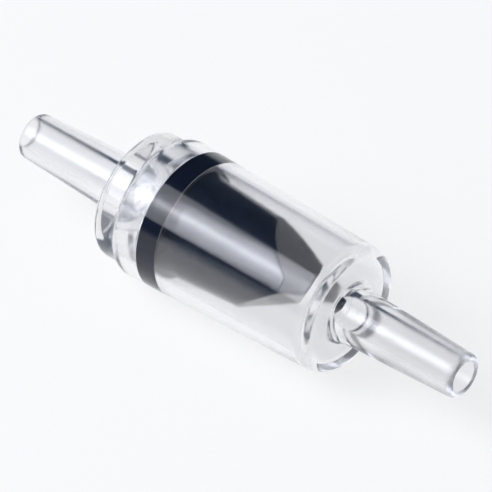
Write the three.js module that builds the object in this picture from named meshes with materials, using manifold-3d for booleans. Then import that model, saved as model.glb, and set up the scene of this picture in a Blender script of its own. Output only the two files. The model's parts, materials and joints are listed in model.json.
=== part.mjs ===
// Clear in-line air check valve: a two-part clear housing, bonded around a rubber duckbill.
//
// Millimetres, +Z up. X is the valve's axis and the way the air flows, from the inlet nipple's
// mouth at -X to the outlet nipple's mouth at +X. The origin is on the axis, midway between the
// two mouths. Profiles are lists of [x, radius] points that are turned about X.

import * as THREE from 'three'
import * as BufferGeometryUtils from 'three/addons/utils/BufferGeometryUtils.js'
import Module from 'manifold-3d'

const wasm = await Module()
wasm.setup()

// ---------------------------------------------------------------- driving dimensions
// Lengths along X, in order from the inlet mouth to the outlet mouth.
const inletNippleLength = 11.8
const capFlangeLength = 2.6
const spigotLength = 2.35
const seatSpace = 2.25 // room for the rubber flange, between the spigot and the barrel's shoulder
const chamberLength = 16.1
const endWall = 1.2
const outletNippleLength = 12.9

// Housing radii.
const capFlangeRadius = 6.05
const barrelMouthRadius = 6.62
const barrelEndRadius = 6.06
const seatRadius = 5.45
const boreRadius = 5.25
const chamberFloorRadius = 4.55 // flat part of the chamber's floor; the rest is a fillet
const spigotHollowRadius = 3.6

// Hose nipples, for 4 mm bore air line.
const inletNipple = { rootRadius: 2.7, tipRadius: 2.1, rootFillet: 0.5 }
const outletNipple = { rootRadius: 2.62, tipRadius: 2.2, rootFillet: 0.85 }
const nippleEdgeRound = 0.4
const inletBoreRadius = 1.3
const outletBoreRadius = 1.5
const boreLeadIn = 0.15

// Rounded edges of the housing.
const capEdgeRound = 0.9
const mouthEdgeRound = 0.7
const shoulderRoundLength = 1.2
const shoulderRoundDepth = 0.8
const outletFunnel = 0.35

// Rubber duckbill.
const duckbillWall = 0.9
const collarRadius = 4.9
const collarLength = 0.5
const duckbillBaseRadius = 4.66
const duckbillBillRadius = 4.3
const billTipHalfThickness = 0.72
const billBevel = THREE.MathUtils.degToRad(35)
const billToFloor = 3.6 // from the bill's tip to the chamber's floor, lips closed
const slitRoll = THREE.MathUtils.degToRad(-38) // roll of the slit about X, from +Y

// Clearances.
const partGap = 0.1 // between pieces that touch in the real valve
const lipGap = 0.15 // between a lip's root and the body that it flexes on
const slitGap = 0.1 // between the closed lips

const segments = 40
const roundSteps = 4

// ---------------------------------------------------------------- stations along X
const overallLength = inletNippleLength + capFlangeLength + spigotLength + seatSpace
  + chamberLength + endWall + outletNippleLength
const inletMouth = -overallLength / 2
const capFace = inletMouth + inletNippleLength
const barrelMouth = capFace + capFlangeLength
const spigotEnd = barrelMouth + spigotLength
const shoulder = spigotEnd + seatSpace
const chamberFloor = shoulder + chamberLength
const endFace = chamberFloor + endWall
const outletMouth = endFace + outletNippleLength
const hollowFloor = capFace + 1.8

const billTip = chamberFloor - billToFloor
const billLength = (duckbillBillRadius - billTipHalfThickness) / Math.tan(billBevel)
const billRoot = billTip - billLength

// ---------------------------------------------------------------- helpers

// Points on an elliptical quarter round, from one angle to another in degrees.
function roundedEdge(x, radius, sizeX, sizeR, fromDegrees, toDegrees) {
  const points = []
  for (let step = 0; step <= roundSteps; step += 1) {
    const degrees = fromDegrees + (toDegrees - fromDegrees) * step / roundSteps
    const angle = THREE.MathUtils.degToRad(degrees)
    points.push([x + sizeX * Math.cos(angle), radius + sizeR * Math.sin(angle)])
  }
  return points
}

// A solid of revolution about X from a closed loop of [x, radius] points.
function turned(profile) {
  const loop = [...profile, profile[0]].map(([x, radius]) => new THREE.Vector2(radius, x))
  const geometry = new THREE.LatheGeometry(loop, segments)
  geometry.rotateZ(-Math.PI / 2)
  return geometry
}

// A prism with a side view in the plane of X and Z, centred on Y.
function sidePrism(corners, width) {
  const shape = new THREE.Shape(corners.map(([x, z]) => new THREE.Vector2(x, z)))
  const geometry = new THREE.ExtrudeGeometry(shape, { depth: width, bevelEnabled: false })
  geometry.rotateX(Math.PI / 2)
  geometry.translate(0, width / 2, 0)
  return geometry
}

function toSolid(geometry) {
  const bare = geometry.clone()
  bare.deleteAttribute('normal')
  bare.deleteAttribute('uv')
  const merged = BufferGeometryUtils.mergeVertices(bare, 1e-4)
  const vertProperties = new Float32Array(merged.attributes.position.array)
  const triVerts = new Uint32Array(merged.index.array)
  return new wasm.Manifold(new wasm.Mesh({ numProp: 3, vertProperties, triVerts }))
}

function toGeometry(solid) {
  const mesh = solid.getMesh()
  const geometry = new THREE.BufferGeometry()
  geometry.setAttribute('position', new THREE.BufferAttribute(mesh.vertProperties, 3))
  geometry.setIndex(new THREE.BufferAttribute(mesh.triVerts, 1))
  geometry.computeVertexNormals()
  return geometry
}

function named(name, geometry, material) {
  const mesh = new THREE.Mesh(geometry, material)
  mesh.name = name
  return mesh
}

// ---------------------------------------------------------------- materials

function clearPlastic() {
  return new THREE.MeshStandardMaterial({
    color: 0xeef1f3,
    roughness: 0.05,
    metalness: 0,
    transparent: true,
    opacity: 0.35,
  })
}

function blackRubber() {
  return new THREE.MeshStandardMaterial({ color: 0x14161c, roughness: 0.42, metalness: 0 })
}

// ---------------------------------------------------------------- housing

// Outside of a nipple, from its root to its mouth. Direction is -1 for a mouth on the -X side.
function nippleOutside(nipple, root, mouth, direction) {
  const { rootRadius, tipRadius, rootFillet } = nipple
  const edge = mouth - direction * nippleEdgeRound
  return [
    [root, rootRadius + rootFillet],
    [root + direction * 0.3 * rootFillet, rootRadius + 0.3 * rootFillet],
    [root + direction * rootFillet, rootRadius],
    [edge, tipRadius],
    [edge + direction * 0.5 * nippleEdgeRound, tipRadius - 0.13 * nippleEdgeRound],
    [edge + direction * 0.87 * nippleEdgeRound, tipRadius - 0.5 * nippleEdgeRound],
    [mouth, tipRadius - nippleEdgeRound],
  ]
}

// The inlet half: nipple, round flange, and the hollow spigot that plugs into the barrel.
function inletCap() {
  const spigotRadius = seatRadius - partGap
  const spigotTip = spigotEnd - partGap
  const profile = [
    [inletMouth, inletBoreRadius + boreLeadIn],
    ...nippleOutside(inletNipple, capFace, inletMouth, -1).reverse(),
    ...roundedEdge(capFace + capEdgeRound, capFlangeRadius - capEdgeRound,
      capEdgeRound, capEdgeRound, 180, 90),
    [barrelMouth - partGap, capFlangeRadius],
    [barrelMouth - partGap, spigotRadius],
    [spigotTip - 0.2, spigotRadius],
    [spigotTip, spigotRadius - 0.2],
    [spigotTip, spigotHollowRadius],
    [hollowFloor + 0.4, spigotHollowRadius],
    [hollowFloor, spigotHollowRadius - 0.4],
    [hollowFloor, inletBoreRadius],
    [inletMouth + boreLeadIn, inletBoreRadius],
  ]
  return named('inlet_cap', turned(profile), clearPlastic())
}

// The outlet half: counterbored mouth, chamber, rounded shoulder and nipple.
function outletBarrel() {
  const filletSize = boreRadius - chamberFloorRadius
  const profile = [
    [barrelMouth, seatRadius],
    ...roundedEdge(barrelMouth + 1.5 * mouthEdgeRound, barrelMouthRadius - mouthEdgeRound,
      1.5 * mouthEdgeRound, mouthEdgeRound, 165, 90),
    ...roundedEdge(endFace - shoulderRoundLength, barrelEndRadius - shoulderRoundDepth,
      shoulderRoundLength, shoulderRoundDepth, 90, 0),
    ...nippleOutside(outletNipple, endFace, outletMouth, 1),
    [outletMouth, outletBoreRadius + boreLeadIn],
    [outletMouth - boreLeadIn, outletBoreRadius],
    [chamberFloor + outletFunnel, outletBoreRadius],
    [chamberFloor, outletBoreRadius + outletFunnel],
    ...roundedEdge(chamberFloor - filletSize, chamberFloorRadius, filletSize, filletSize, 0, 90),
    [shoulder, boreRadius],
    [shoulder, seatRadius],
  ]
  return named('outlet_barrel', turned(profile), clearPlastic())
}

// ---------------------------------------------------------------- duckbill

// The clamped flange and the hollow, slightly tapering body, up to the root of the bill.
function duckbillBody() {
  const flangeStart = spigotEnd
  const flangeEnd = shoulder - partGap
  const flangeRadius = seatRadius - partGap
  const bodyEnd = billRoot - lipGap
  const profile = [
    [flangeStart, duckbillBaseRadius - duckbillWall],
    [flangeStart, flangeRadius],
    [flangeEnd, flangeRadius],
    [flangeEnd, collarRadius],
    [flangeEnd + collarLength, duckbillBaseRadius],
    [bodyEnd, duckbillBillRadius],
    [bodyEnd, duckbillBillRadius - duckbillWall],
  ]
  return named('duckbill_body', turned(profile), blackRubber())
}

// A plain round bar from the bill's root to past its tip, for cutting the lips from.
function billBar(fromX, radius) {
  return toSolid(turned([[fromX, 0], [fromX, radius], [billTip, radius], [billTip, 0]]))
}

// The upper lip as if the slit were level: half of the wedge, hollow behind its bevelled face.
function lipSolid() {
  const width = 3 * duckbillBillRadius
  const past = 1
  const rise = Math.tan(billBevel)
  const slitFace = slitGap / 2
  const outerWedge = toSolid(sidePrism([
    [billRoot - past, slitFace],
    [billTip + past, slitFace],
    [billTip + past, billTipHalfThickness],
    [billTip, billTipHalfThickness],
    [billRoot - past, billTipHalfThickness + (billLength + past) * rise],
  ], width))
  const plate = duckbillWall / Math.cos(billBevel)
  const innerTip = billTip - (plate - billTipHalfThickness) / rise
  const innerWedge = toSolid(sidePrism([
    [billRoot - past, -past],
    [innerTip + past / rise, -past],
    [billRoot - past, (innerTip - billRoot + past) * rise],
  ], width))
  const cavity = billBar(billRoot - past, duckbillBillRadius - duckbillWall).intersect(innerWedge)
  return billBar(billRoot, duckbillBillRadius).intersect(outerWedge).subtract(cavity)
}

// Both lips. The lower one is the upper one turned half a turn about the valve's axis.
function lips() {
  const upper = named('upper_lip', toGeometry(lipSolid()), blackRubber())
  upper.rotation.x = slitRoll
  const lower = named('lower_lip', toGeometry(lipSolid()), blackRubber())
  lower.rotation.x = slitRoll + Math.PI
  return [upper, lower]
}

// ---------------------------------------------------------------- assembly
const valve = new THREE.Group()
valve.add(inletCap(), outletBarrel(), duckbillBody(), ...lips())

export default valve
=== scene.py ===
"""Clear in-line air check valve with a black rubber duckbill: looks for Blender 4.5.

The clear mouldings are turned from fine rounded profiles, and the duckbill is a rubber skin whose
lips bend at their roots. Lengths in this script are millimetres unless a name ends in _m.
"""

import json
import math

import bmesh
import bpy
from mathutils import Matrix, Vector


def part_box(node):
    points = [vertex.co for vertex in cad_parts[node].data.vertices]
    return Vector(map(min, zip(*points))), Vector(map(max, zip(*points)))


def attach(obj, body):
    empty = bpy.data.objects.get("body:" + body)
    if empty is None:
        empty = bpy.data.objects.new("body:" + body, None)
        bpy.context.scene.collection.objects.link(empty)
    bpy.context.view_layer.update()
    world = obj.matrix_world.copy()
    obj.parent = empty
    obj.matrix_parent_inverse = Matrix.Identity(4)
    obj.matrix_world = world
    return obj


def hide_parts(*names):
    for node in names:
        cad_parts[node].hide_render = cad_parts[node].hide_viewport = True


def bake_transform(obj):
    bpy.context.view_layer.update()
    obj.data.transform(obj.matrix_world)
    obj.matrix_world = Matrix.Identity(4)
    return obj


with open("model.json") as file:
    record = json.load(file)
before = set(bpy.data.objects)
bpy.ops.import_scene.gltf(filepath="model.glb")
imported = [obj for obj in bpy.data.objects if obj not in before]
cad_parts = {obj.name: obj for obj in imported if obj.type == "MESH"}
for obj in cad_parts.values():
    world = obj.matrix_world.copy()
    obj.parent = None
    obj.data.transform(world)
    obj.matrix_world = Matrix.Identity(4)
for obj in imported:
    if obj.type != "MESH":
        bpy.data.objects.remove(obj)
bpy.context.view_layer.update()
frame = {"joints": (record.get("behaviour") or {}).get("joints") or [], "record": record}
MM = 0.001

# ---------------------------------------------------------------- sizes that the frame doesn't give
SPIGOT_OVERRUN = 0.25  # how far the spigot's end lies past the end of the CAD's cap
SEAT_DEPTH = 4.6
CAP_WALL = 1.8
END_WALL = 1.2
BARREL_TAPER = 0.56  # on the radius, from the barrel's mouth to its end
BILL_TIP = 6.9

SEAT_RADIUS = 5.3
BORE_RADIUS = 5.25
HOLLOW_RADIUS = 3.6
INLET_ROOT = 2.7
INLET_TIP = 2.1
OUTLET_ROOT = 2.62
OUTLET_TIP = 2.13
INLET_BORE = 1.3
OUTLET_BORE = 1.5

RUBBER_WALL = 0.9
COLLAR_RADIUS = 4.95
COLLAR_FOOT_RADIUS = 4.68
BODY_HOLLOW_RADIUS = 3.76
BILL_RADIUS = 4.3
TIP_HALF = 0.72  # half the thickness of the bill at its tip
BEVEL = math.radians(35)

# Gaps between pieces, and the rounds of edges that look sharp.
CAP_GAP = 0.05
SPIGOT_PLAY = 0.04
FLANGE_GAP = 0.02
SHARP = 0.05
FINE = 0.12
SMALL = 0.15

# ---------------------------------------------------------------- sizes from the frame
cap_low, cap_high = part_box("inlet_cap")
barrel_low, barrel_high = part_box("outlet_barrel")
joints = {joint["name"]: joint for joint in frame["joints"]}
mounts = {mount["name"]: mount for mount in frame["record"]["mounts"]}

INLET_MOUTH = cap_low.x / MM
CAP_FACE = mounts["inlet_hose_stop"]["pos_m"][0] / MM
HOLLOW_FLOOR = CAP_FACE + CAP_WALL
SPIGOT_END = cap_high.x / MM + SPIGOT_OVERRUN
BARREL_MOUTH = barrel_low.x / MM
SHOULDER = BARREL_MOUTH + SEAT_DEPTH
END_FACE = mounts["outlet_hose_stop"]["pos_m"][0] / MM
OUTLET_MOUTH = barrel_high.x / MM
CHAMBER_FLOOR = END_FACE - END_WALL
LIP_ROOT = joints["upper_lip_flex"]["pos_m"][0] / MM

CAP_RADIUS = cap_high.z / MM
MOUTH_RADIUS = barrel_high.z / MM
END_RADIUS = MOUTH_RADIUS - BARREL_TAPER

hinge_axis = Vector(joints["lower_lip_flex"]["axis"]).normalized()
SLIT_ROLL = math.atan2(hinge_axis.z, hinge_axis.y)


# ---------------------------------------------------------------- profiles
def corner(before, point, after, size, steps=8):
    """Rounds one corner of a profile.

    Size is how far the round reaches along both sides, or a pair with one length for each side.
    """
    toward_before, toward_after = size if isinstance(size, tuple) else (size, size)
    p = Vector(point)
    if toward_before == 0:
        return [p]
    a = (Vector(before) - p).normalized() * toward_before
    b = (Vector(after) - p).normalized() * toward_after
    points = []
    for step in range(steps + 1):
        angle = math.pi / 2 * step / steps
        points.append(p + a * (1 - math.sin(angle)) + b * (1 - math.cos(angle)))
    return points


def rounded(profile):
    """A closed loop of (x, radius, size of the round) as points with its corners rounded."""
    points = []
    for i, (x, r, size) in enumerate(profile):
        before = profile[i - 1][:2]
        after = profile[(i + 1) % len(profile)][:2]
        points += corner(before, (x, r), after, size)
    return points


def turned(name, profile, segments=192):
    """A solid of revolution about X from a closed loop of (x, radius) points in millimetres."""
    crease = math.radians(35)
    mesh = bpy.data.meshes.new(name)
    bm = bmesh.new()
    rings = []
    for k in range(segments):
        angle = 2 * math.pi * k / segments
        c, s = math.cos(angle), math.sin(angle)
        rings.append([bm.verts.new((x * MM, r * c * MM, r * s * MM)) for x, r in profile])
    count = len(profile)
    for k in range(segments):
        ring, following = rings[k], rings[(k + 1) % segments]
        for i in range(count):
            j = (i + 1) % count
            bm.faces.new((ring[i], following[i], following[j], ring[j]))
    bmesh.ops.recalc_face_normals(bm, faces=bm.faces)
    for face in bm.faces:
        face.smooth = True
    for edge in bm.edges:
        if edge.calc_face_angle(0) > crease:
            edge.smooth = False
    bm.to_mesh(mesh)
    bm.free()
    piece = bpy.data.objects.new(name, mesh)
    bpy.context.scene.collection.objects.link(piece)
    return piece


# ---------------------------------------------------------------- materials
def node_material(name):
    """A new material with one shader: the material, its nodes, its links and the shader."""
    material = bpy.data.materials.new(name)
    material.use_nodes = True
    nodes = material.node_tree.nodes
    nodes.clear()
    output = nodes.new("ShaderNodeOutputMaterial")
    shader = nodes.new("ShaderNodeBsdfPrincipled")
    material.node_tree.links.new(shader.outputs["BSDF"], output.inputs["Surface"])
    return material, nodes, material.node_tree.links, shader


def smooth_step(nodes, links, value, low, high):
    """Output that goes smoothly from 0 to 1 while the value goes from low to high."""
    step = nodes.new("ShaderNodeMapRange")
    step.interpolation_type = "SMOOTHSTEP"
    step.inputs["From Min"].default_value = low
    step.inputs["From Max"].default_value = high
    links.new(value, step.inputs["Value"])
    return step.outputs["Result"]


def noise(nodes, links, place, scale, detail):
    """Noise on the piece's own coordinates."""
    texture = nodes.new("ShaderNodeTexNoise")
    texture.inputs["Scale"].default_value = scale
    texture.inputs["Detail"].default_value = detail
    links.new(place.outputs["Object"], texture.inputs["Vector"])
    return texture.outputs["Fac"]


def bumped(nodes, links, shader, height, strength, distance_m):
    """Gives the shader a bump from a height."""
    bump = nodes.new("ShaderNodeBump")
    bump.inputs["Strength"].default_value = strength
    bump.inputs["Distance"].default_value = distance_m
    links.new(height, bump.inputs["Height"])
    links.new(bump.outputs["Normal"], shader.inputs["Normal"])


def clear_plastic():
    """Clear moulded plastic with a trace of haze, more on the nipples, and a faint ripple."""
    haze_starts, haze_full = END_FACE + 3, END_FACE + 6
    clear_roughness, hazy_roughness, mottle = 0.06, 0.17, 0.08
    material, nodes, links, shader = node_material("clear_plastic")
    shader.inputs["Base Color"].default_value = (0.965, 0.970, 0.980, 1)
    shader.inputs["IOR"].default_value = 1.49
    shader.inputs["Transmission Weight"].default_value = 1.0
    place = nodes.new("ShaderNodeTexCoord")
    split = nodes.new("ShaderNodeSeparateXYZ")
    links.new(place.outputs["Object"], split.inputs["Vector"])
    along = nodes.new("ShaderNodeMath")
    along.operation = "ABSOLUTE"
    links.new(split.outputs["X"], along.inputs[0])
    nipple = nodes.new("ShaderNodeMapRange")
    nipple.inputs["From Min"].default_value = haze_starts * MM
    nipple.inputs["From Max"].default_value = haze_full * MM
    nipple.inputs["To Min"].default_value = clear_roughness
    nipple.inputs["To Max"].default_value = hazy_roughness
    links.new(along.outputs["Value"], nipple.inputs["Value"])
    rough = nodes.new("ShaderNodeMath")
    rough.operation = "MULTIPLY_ADD"
    rough.inputs[1].default_value = mottle
    links.new(noise(nodes, links, place, scale=900, detail=3), rough.inputs[0])
    links.new(nipple.outputs["Result"], rough.inputs[2])
    links.new(rough.outputs["Value"], shader.inputs["Roughness"])
    ripple = noise(nodes, links, place, scale=260, detail=2)
    bumped(nodes, links, shader, ripple, strength=0.02, distance_m=0.00002)
    return material


def black_rubber():
    """Moulded rubber: nearly black, satin, with a fine grain and a cloudy sheen."""
    material, nodes, links, shader = node_material("black_rubber")
    shader.inputs["IOR"].default_value = 1.65
    place = nodes.new("ShaderNodeTexCoord")
    cloud = noise(nodes, links, place, scale=450, detail=5)
    tint = nodes.new("ShaderNodeMix")
    tint.data_type = "RGBA"
    tint.inputs["A"].default_value = (0.009, 0.015, 0.033, 1)
    tint.inputs["B"].default_value = (0.015, 0.025, 0.054, 1)
    links.new(cloud, tint.inputs["Factor"])
    links.new(tint.outputs["Result"], shader.inputs["Base Color"])
    rough = nodes.new("ShaderNodeMapRange")
    rough.inputs["To Min"].default_value = 0.13
    rough.inputs["To Max"].default_value = 0.2
    links.new(cloud, rough.inputs["Value"])
    links.new(rough.outputs["Result"], shader.inputs["Roughness"])
    grain = noise(nodes, links, place, scale=5200, detail=2)
    bumped(nodes, links, shader, grain, strength=0.12, distance_m=0.00003)
    return material


def duller(rubber, name, index):
    """The same rubber with less gloss, by way of a lower index of refraction."""
    material = rubber.copy()
    material.name = name
    material.node_tree.nodes["Principled BSDF"].inputs["IOR"].default_value = index
    return material


def table_surface():
    """White sheet that glows, so that shadows stay faint."""
    material, _, _, shader = node_material("table_surface")
    shader.inputs["Base Color"].default_value = (0.3, 0.3, 0.3, 1)
    shader.inputs["Roughness"].default_value = 0.9
    shader.inputs["Specular IOR Level"].default_value = 0.0
    shader.inputs["Emission Color"].default_value = (1, 1, 1, 1)
    shader.inputs["Emission Strength"].default_value = 0.80
    return material


plastic = clear_plastic()
rubber = black_rubber()
pressed_rubber = duller(rubber, "pressed_rubber", 1.0)
# Painted shade: a less reflective copy of the rubber for the bevels, so that they look darker.
shaded_bevel_rubber = duller(rubber, "shaded_bevel_rubber", 1.35)


# ---------------------------------------------------------------- clear mouldings
def inlet_cap():
    """Nipple, round flange and the hollow spigot that plugs the barrel."""
    edge_round, hollow_fillet, root_fillet = 0.9, 0.6, 0.5
    tip_round = (0.45, 0.5)
    profile = [
        (CAP_FACE, CAP_RADIUS, edge_round),
        (BARREL_MOUTH - CAP_GAP, CAP_RADIUS, FINE),
        (BARREL_MOUTH - CAP_GAP, SEAT_RADIUS - SPIGOT_PLAY, SHARP),
        (SPIGOT_END - FLANGE_GAP, SEAT_RADIUS - SPIGOT_PLAY, SMALL),
        (SPIGOT_END - FLANGE_GAP, HOLLOW_RADIUS, SMALL),
        (HOLLOW_FLOOR, HOLLOW_RADIUS, hollow_fillet),
        (HOLLOW_FLOOR, INLET_BORE, SMALL),
        (INLET_MOUTH, INLET_BORE, FINE),
        (INLET_MOUTH, INLET_TIP, tip_round),
        (CAP_FACE, INLET_ROOT, root_fillet),
    ]
    piece = turned("inlet_cap_clear", rounded(profile))
    piece.data.materials.append(plastic)
    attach(piece, "housing")
    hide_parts("inlet_cap")


def outlet_barrel():
    """Tapering barrel with its chamber, rounded shoulder and nipple."""
    mouth_round, shoulder_round, tip_round = (0.7, 1.0), (1.2, 0.8), (0.6, 0.45)
    root_fillet, floor_fillet, funnel = 0.85, 0.7, 0.3
    profile = [
        (BARREL_MOUTH, MOUTH_RADIUS, mouth_round),
        (END_FACE, END_RADIUS, shoulder_round),
        (END_FACE, OUTLET_ROOT, root_fillet),
        (OUTLET_MOUTH, OUTLET_TIP, tip_round),
        (OUTLET_MOUTH, OUTLET_BORE, FINE),
        (CHAMBER_FLOOR, OUTLET_BORE, funnel),
        (CHAMBER_FLOOR, BORE_RADIUS, floor_fillet),
        (SHOULDER, BORE_RADIUS, SHARP),
        (SHOULDER, SEAT_RADIUS, SHARP),
        (BARREL_MOUTH, SEAT_RADIUS, SHARP),
    ]
    piece = turned("outlet_barrel_clear", rounded(profile))
    piece.data.materials.append(plastic)
    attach(piece, "housing")
    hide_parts("outlet_barrel")


# ---------------------------------------------------------------- rubber duckbill
def duckbill_body():
    """Flange, collar and tapering body.

    The flange is pressed a little way into the wall of its seat, so that it wets the plastic.
    """
    squeeze, collar_length, collar_fillet = 0.02, 0.5, 0.5
    flange_start = SPIGOT_END + FLANGE_GAP
    flange_round, mouth_round = 0.1, 0.3
    profile = [
        (flange_start, SEAT_RADIUS + squeeze, flange_round),
        (SHOULDER + squeeze, SEAT_RADIUS + squeeze, flange_round),
        (SHOULDER + squeeze, COLLAR_RADIUS, SHARP),
        (SHOULDER + collar_length, COLLAR_FOOT_RADIUS, collar_fillet),
        (LIP_ROOT, BILL_RADIUS, 0),
        (LIP_ROOT, BILL_RADIUS - RUBBER_WALL, 0),
        (flange_start, BODY_HOLLOW_RADIUS, mouth_round),
    ]
    piece = turned("duckbill_rubber", rounded(profile))
    piece.data.materials.append(rubber)
    piece.data.materials.append(pressed_rubber)
    # The faces that press against the plastic.
    for face in piece.data.polygons:
        middle = face.center / MM
        if middle.x < SHOULDER + 2 * squeeze and math.hypot(middle.y, middle.z) > BORE_RADIUS:
            face.material_index = 1
    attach(piece, "housing")
    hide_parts("duckbill_body")


def soft_min(a, b, width):
    """The smaller of two lengths, with a round of the given width where they meet."""
    if abs(a - b) >= width:
        return min(a, b)
    gap = width - abs(a - b)
    return min(a, b) - gap * gap / (4 * width)


def lip_section(x, radius, bevel_height, count, slit_face):
    """Points of half a section of the bill at station x, from one end of the slit to the other."""
    bevel_round = 0.3
    points = []
    for i in range(count + 1):
        angle = math.pi * i / count
        across = radius * math.cos(angle)
        height = soft_min(radius * math.sin(angle), bevel_height, bevel_round)
        points.append((x, across, max(slit_face, height)))
    return points


def lip_mesh(name):
    """Half of the bill, as a closed skin with its cavity.

    It is built in the slit's frame: x along the valve, y along the slit, z away from it.
    """
    across_steps, along_steps, round_steps = 96, 40, 6
    slit_face, edge_round = 0.01, 0.16
    crease = math.radians(40)
    rise = math.tan(BEVEL)
    inner_radius = BILL_RADIUS - RUBBER_WALL
    plate = RUBBER_WALL / math.cos(BEVEL)
    inner_tip = BILL_TIP - (plate - TIP_HALF) / rise

    outer = []
    for k in range(along_steps + 1):
        x = LIP_ROOT + (BILL_TIP - edge_round - LIP_ROOT) * k / along_steps
        height = TIP_HALF + (BILL_TIP - x) * rise
        outer.append(lip_section(x, BILL_RADIUS, height, across_steps, slit_face))
    for k in range(1, round_steps + 1):
        angle = math.pi / 2 * k / round_steps
        x = BILL_TIP - edge_round + edge_round * math.sin(angle)
        shrink = edge_round * (1 - math.cos(angle))
        height = TIP_HALF + (BILL_TIP - x) * rise - shrink
        outer.append(lip_section(x, BILL_RADIUS - shrink, height, across_steps, slit_face))

    inner = []
    for k in range(along_steps + 1):
        x = LIP_ROOT + (inner_tip - LIP_ROOT) * k / along_steps
        height = max(slit_face, (inner_tip - x) * rise)
        inner.append(lip_section(x, inner_radius, height, across_steps, slit_face))

    mesh = bpy.data.meshes.new(name)
    bm = bmesh.new()

    def grid(rows, flip):
        verts = [[bm.verts.new((x * MM, y * MM, z * MM)) for x, y, z in row] for row in rows]
        for a, b in zip(verts, verts[1:]):
            for i in range(len(a) - 1):
                corners = (a[i], a[i + 1], b[i + 1], b[i])
                bm.faces.new(tuple(reversed(corners)) if flip else corners)
        return verts

    outer_verts = grid(outer, False)
    inner_verts = grid(inner, True)

    def bridge(a, b):
        for i in range(len(a) - 1):
            bm.faces.new((a[i], a[i + 1], b[i + 1], b[i]))

    bridge(inner_verts[0], outer_verts[0])
    tip_row = outer_verts[-1]
    slit_row = [bm.verts.new((v.co.x, v.co.y, slit_face * MM)) for v in tip_row]
    bridge(tip_row, slit_row)
    bridge(slit_row, inner_verts[-1])
    # The slit's face on each side: quads along the cavity, then a fan round the tip.
    for side in (0, -1):
        outer_edge = [row[side] for row in outer_verts] + [slit_row[side]]
        inner_edge = [row[side] for row in inner_verts]
        bridge(outer_edge[:len(inner_edge)], inner_edge)
        fan = outer_edge[len(inner_edge) - 1:]
        for p, q in zip(fan, fan[1:]):
            bm.faces.new((p, q, inner_edge[-1]))
    bmesh.ops.remove_doubles(bm, verts=bm.verts, dist=1e-7)
    bmesh.ops.dissolve_degenerate(bm, edges=bm.edges, dist=1e-8)
    bmesh.ops.recalc_face_normals(bm, faces=bm.faces)
    for face in bm.faces:
        face.smooth = True
    for edge in bm.edges:
        if edge.calc_face_angle(0) > crease:
            edge.smooth = False
    bm.to_mesh(mesh)
    bm.free()
    return mesh


def duckbill_lips():
    """Both lips. Their bevels are duller: a less reflective copy of the rubber paints shade on
    them.
    """
    bevel_normal = Vector((math.sin(BEVEL), 0, math.cos(BEVEL)))
    bevel_match = 0.97
    for name, roll in (("upper_lip", SLIT_ROLL), ("lower_lip", SLIT_ROLL + math.pi)):
        mesh = lip_mesh(name + "_rubber")
        mesh.materials.append(rubber)
        mesh.materials.append(shaded_bevel_rubber)
        for face in mesh.polygons:
            # The bevel faces take the less reflective copy of the rubber: painted shade.
            if face.normal.dot(bevel_normal) > bevel_match:
                face.material_index = 1
        mesh.transform(Matrix.Rotation(roll, 4, "X"))
        piece = bpy.data.objects.new(name + "_rubber", mesh)
        bpy.context.scene.collection.objects.link(piece)
        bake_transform(piece)
        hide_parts(name)


# ---------------------------------------------------------------- stage
def table():
    """Plain floor, a hair below the valve."""
    half_m = 1.5
    gap = 0.02
    height_m = -(MOUTH_RADIUS + gap) * MM
    corners = [(x * half_m, y * half_m, height_m) for x, y in ((-1, -1), (1, -1), (1, 1), (-1, 1))]
    mesh = bpy.data.meshes.new("table")
    mesh.from_pydata(corners, [], [(0, 1, 2, 3)])
    mesh.materials.append(table_surface())
    piece = bpy.data.objects.new("table", mesh)
    bpy.context.scene.collection.objects.link(piece)


def direction_to(azimuth_deg, elevation_deg):
    """Unit vector away from the valve. Azimuth 0 is -Y, turning towards +X."""
    azimuth, elevation = math.radians(azimuth_deg), math.radians(elevation_deg)
    return Vector((
        math.cos(elevation) * math.sin(azimuth),
        -math.cos(elevation) * math.cos(azimuth),
        math.sin(elevation),
    ))


def softbox():
    """Square diffuser with a hot middle. Middle_radius is a fraction of the square's side."""
    direction = direction_to(-43.4, 43.0)
    distance_m, size_m = 0.6, 0.475
    edge_radiance, middle_radiance, middle_radius = 2.6, 9.0, 0.11
    data = bpy.data.lights.new("softbox", "AREA")
    data.shape = "SQUARE"
    data.size = size_m
    data.energy = math.pi * size_m * size_m
    data.color = (0.96, 0.98, 1.06)
    data.use_nodes = True
    nodes, links = data.node_tree.nodes, data.node_tree.links
    emission = nodes["Emission"]
    spot = nodes.new("ShaderNodeNewGeometry")
    centred = nodes.new("ShaderNodeVectorMath")
    centred.operation = "SUBTRACT"
    centred.inputs[1].default_value = (0.5, 0.5, 0)
    links.new(spot.outputs["Parametric"], centred.inputs[0])
    spread = nodes.new("ShaderNodeVectorMath")
    spread.operation = "DOT_PRODUCT"
    links.new(centred.outputs["Vector"], spread.inputs[0])
    links.new(centred.outputs["Vector"], spread.inputs[1])
    falloff = nodes.new("ShaderNodeMath")
    falloff.operation = "MULTIPLY_ADD"
    falloff.inputs[1].default_value = 1 / middle_radius ** 2
    falloff.inputs[2].default_value = 1
    links.new(spread.outputs["Value"], falloff.inputs[0])
    middle = nodes.new("ShaderNodeMath")
    middle.operation = "DIVIDE"
    middle.inputs[0].default_value = middle_radiance
    links.new(falloff.outputs["Value"], middle.inputs[1])
    total = nodes.new("ShaderNodeMath")
    total.operation = "ADD"
    total.inputs[1].default_value = edge_radiance
    links.new(middle.outputs["Value"], total.inputs[0])
    links.new(total.outputs["Value"], emission.inputs["Strength"])
    light = bpy.data.objects.new("softbox", data)
    light.location = direction * distance_m
    light.rotation_euler = direction.to_track_quat("Z", "Y").to_euler()
    bpy.context.scene.collection.objects.link(light)


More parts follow.
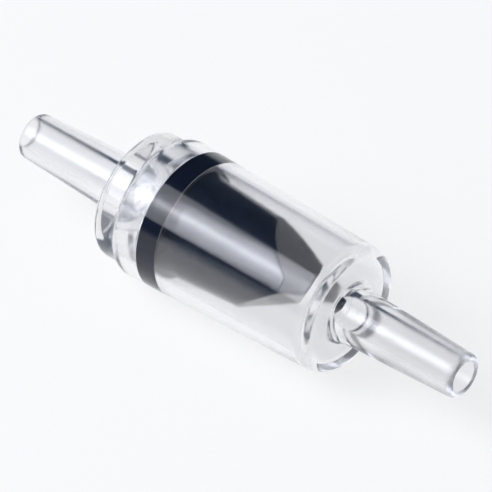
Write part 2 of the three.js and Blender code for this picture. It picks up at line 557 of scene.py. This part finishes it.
def room():
    """Dark blue-grey room. Its walls glow low down, but not behind the valve on its outlet side."""
    world = bpy.data.worlds.new("room")
    world.use_nodes = True
    nodes, links = world.node_tree.nodes, world.node_tree.links
    background = nodes["Background"]
    place = nodes.new("ShaderNodeTexCoord")
    split = nodes.new("ShaderNodeSeparateXYZ")
    links.new(place.outputs["Generated"], split.inputs["Vector"])
    height = smooth_step(nodes, links, split.outputs["Z"], low=0.0, high=0.13)
    behind = smooth_step(nodes, links, split.outputs["Y"], low=0.1, high=0.5)
    not_left = smooth_step(nodes, links, split.outputs["X"], low=-0.4, high=-0.1)
    behind_right = nodes.new("ShaderNodeMath")
    behind_right.operation = "MULTIPLY"
    links.new(behind, behind_right.inputs[0])
    links.new(not_left, behind_right.inputs[1])
    darkness = nodes.new("ShaderNodeMath")
    darkness.operation = "MAXIMUM"
    links.new(height, darkness.inputs[0])
    links.new(behind_right.outputs["Value"], darkness.inputs[1])
    tint = nodes.new("ShaderNodeMix")
    tint.data_type = "RGBA"
    tint.inputs["A"].default_value = (0.62, 0.66, 0.73, 1)
    tint.inputs["B"].default_value = (0.045, 0.062, 0.095, 1)
    links.new(darkness.outputs["Value"], tint.inputs["Factor"])
    links.new(tint.outputs["Result"], background.inputs["Color"])
    background.inputs["Strength"].default_value = 1.0
    bpy.context.scene.world = world


def camera():
    """Long lens from above the outlet end. The shift centres the valve in the picture."""
    direction = direction_to(40.33, 41.5)
    distance_m = 2.0
    view_width_m = 0.042708333
    shift_right_m, shift_up_m = -0.00011, 0.00078
    sensor_mm = 36
    data = bpy.data.cameras.new("camera")
    data.sensor_width = sensor_mm
    data.lens = sensor_mm * distance_m / view_width_m
    data.clip_start = 0.01
    eye = bpy.data.objects.new("camera", data)
    turn = direction.to_track_quat("Z", "Y")
    right, up = turn @ Vector((1, 0, 0)), turn @ Vector((0, 1, 0))
    eye.location = direction * distance_m + right * shift_right_m + up * shift_up_m
    eye.rotation_euler = turn.to_euler()
    bpy.context.scene.collection.objects.link(eye)
    bpy.context.scene.camera = eye


inlet_cap()
outlet_barrel()
duckbill_body()
duckbill_lips()
table()
softbox()
room()
camera()

scene = bpy.context.scene
scene.view_settings.view_transform = "Standard"
scene.cycles.max_bounces = 32
scene.cycles.transmission_bounces = 28
scene.cycles.glossy_bounces = 12
